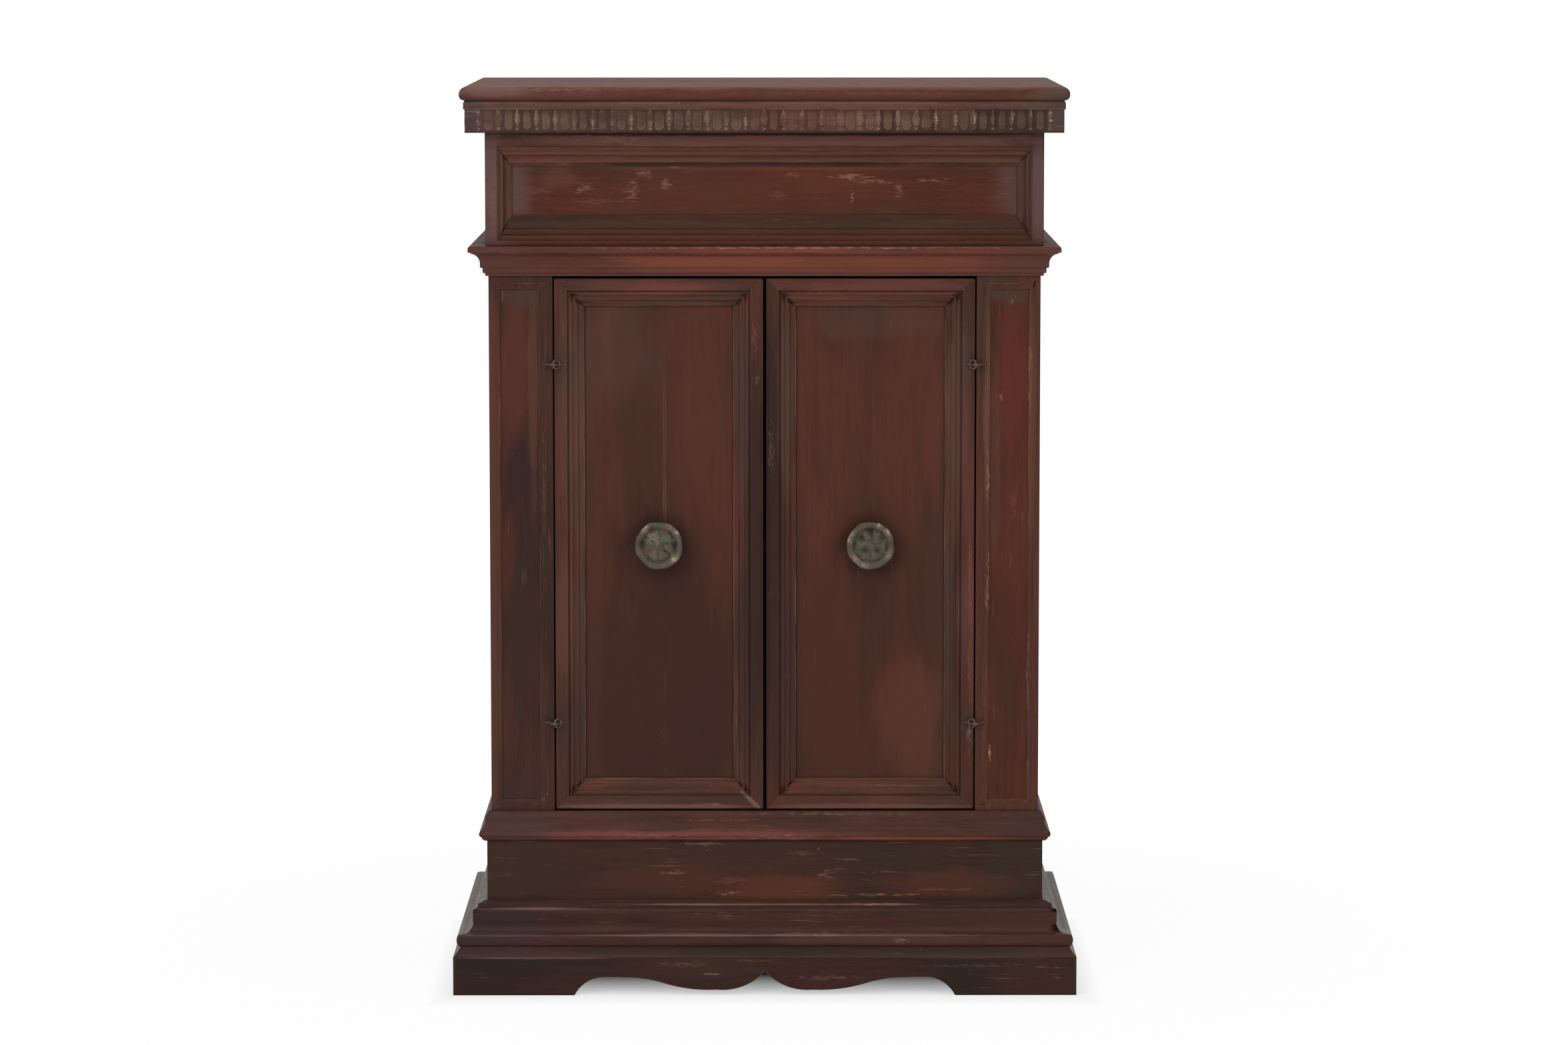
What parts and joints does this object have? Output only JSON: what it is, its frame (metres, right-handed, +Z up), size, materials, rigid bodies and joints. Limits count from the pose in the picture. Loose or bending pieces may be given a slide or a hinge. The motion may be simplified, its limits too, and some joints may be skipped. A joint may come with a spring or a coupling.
{
  "type": "cupboard",
  "caption": "Free-standing wooden cupboard with framed doors on interlocked eye hinges, a shelf inside, a fluted band and sunk frieze above, and a moulded plinth on a scalloped apron.",
  "frame": {"origin": "on the floor under the middle of the cupboard's width and depth", "axes": "+Z up, -Y out of the front where the doors are, +X to the right as seen from the front"},
  "size_m": [0.688, 0.4, 1],
  "materials": {
    "case_wood": "dark stained walnut, waxed",
    "moulding_wood": "dark stained walnut, waxed and worn on the edges",
    "inside_wood": "unfinished aged softwood",
    "wrought_iron": "forged, dark",
    "knob_bronze": "cast, green-grey patina"
  },
  "bodies": {
    "carcass": {"top_board": "case_wood", "fluted_band_front": "moulding_wood", "fluted_band_left": "moulding_wood", "fluted_band_right": "moulding_wood", "frieze_board": "case_wood", "frieze_moulding_bottom": "moulding_wood", "frieze_moulding_left": "moulding_wood", "frieze_moulding_right": "moulding_wood", "frieze_moulding_top": "moulding_wood", "cornice_front": "moulding_wood", "cornice_left": "moulding_wood", "cornice_right": "moulding_wood", "lower_moulding_front": "moulding_wood", "lower_moulding_left": "moulding_wood", "lower_moulding_right": "moulding_wood", "base_moulding_front": "moulding_wood", "base_moulding_left": "moulding_wood", "base_moulding_right": "moulding_wood", "plinth_front": "case_wood", "plinth_left": "case_wood", "plinth_right": "case_wood", "plinth_back": "inside_wood", "apron_front": "case_wood", "apron_left": "case_wood", "apron_right": "case_wood", "corner_blocks": "inside_wood", "back_nails": "wrought_iron", "back_board_left": "inside_wood", "back_board_middle": "inside_wood", "back_board_right": "inside_wood", "side_left": "case_wood", "side_right": "case_wood", "floor_board": "inside_wood", "lower_rail": "case_wood", "upper_rail": "case_wood", "top_rail": "inside_wood", "door_stop": "inside_wood", "shelf": "inside_wood", "shelf_cleats": "inside_wood", "frame_hinge_eyes": "wrought_iron", "pilaster_left": "case_wood", "pilaster_right": "case_wood", "pilaster_moulding_left": "moulding_wood", "pilaster_moulding_right": "moulding_wood"},
    "left_door": {"left_door_rail_bottom": "case_wood", "left_door_stile_hinge": "case_wood", "left_door_rail_top": "case_wood", "left_door_stile_meeting": "case_wood", "left_door_panel": "case_wood", "left_door_hinge_eyes": "wrought_iron", "left_knob": "knob_bronze", "left_knob_nut": "wrought_iron"},
    "right_door": {"right_door_rail_bottom": "case_wood", "right_door_stile_hinge": "case_wood", "right_door_rail_top": "case_wood", "right_door_stile_meeting": "case_wood", "right_door_panel": "case_wood", "right_door_hinge_eyes": "wrought_iron", "right_knob": "knob_bronze", "right_knob_nut": "wrought_iron"}
  },
  "joints": [
    {"name": "left_door_swing", "type": "hinge", "parent": "carcass", "child": "left_door", "pos_m": [-0.23175, -0.167, 0.49], "axis": [0, 0, -1], "range_deg": [0, 150]},
    {"name": "right_door_swing", "type": "hinge", "parent": "carcass", "child": "right_door", "pos_m": [0.23175, -0.167, 0.49], "axis": [0, 0, 1], "range_deg": [0, 150]}
  ]
}
